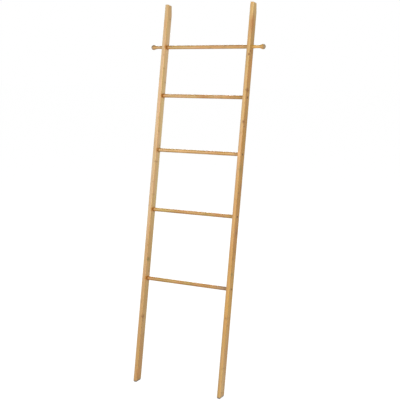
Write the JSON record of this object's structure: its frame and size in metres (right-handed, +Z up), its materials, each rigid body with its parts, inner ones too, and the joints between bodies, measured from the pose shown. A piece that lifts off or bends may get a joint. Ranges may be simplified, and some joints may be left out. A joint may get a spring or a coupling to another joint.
{
  "type": "towel ladder",
  "caption": "Leaning towel ladder: two flat bamboo uprights joined by round rungs, with ball-ended pegs outside the uprights in line with the top rung.",
  "frame": {"origin": "on the floor, midway between the uprights and midway between the front of the feet and the wall that the ladder leans on", "axes": "+Z up; +Y towards the wall, so the ladder leans back 10.5 degrees towards +Y; +X across the width, to the right of someone facing the wall"},
  "size_m": [0.572, 0.3462, 1.6998],
  "materials": {
    "rail_bamboo": "laminated bamboo under a satin clear lacquer",
    "rung_bamboo": "round laminated bamboo rod under a satin clear lacquer",
    "peg_bamboo": "turned bamboo under a satin clear lacquer",
    "screw_steel": "dark bronzed steel",
    "pad_rubber": "matt, fine pebbled face"
  },
  "bodies": {
    "root": {"bottom_rung": "rung_bamboo", "bottom_rung_screw_left": "screw_steel", "bottom_rung_screw_right": "screw_steel", "foot_pad_left": "pad_rubber", "foot_pad_right": "pad_rubber", "lower_rung": "rung_bamboo", "lower_rung_screw_left": "screw_steel", "lower_rung_screw_right": "screw_steel", "middle_rung": "rung_bamboo", "middle_rung_screw_left": "screw_steel", "middle_rung_screw_right": "screw_steel", "peg_left": "peg_bamboo", "peg_right": "peg_bamboo", "peg_screw_left": "screw_steel", "peg_screw_right": "screw_steel", "rail_left": "rail_bamboo", "rail_right": "rail_bamboo", "top_rung": "rung_bamboo", "upper_rung": "rung_bamboo", "upper_rung_screw_left": "screw_steel", "upper_rung_screw_right": "screw_steel"}
  },
  "joints": []
}
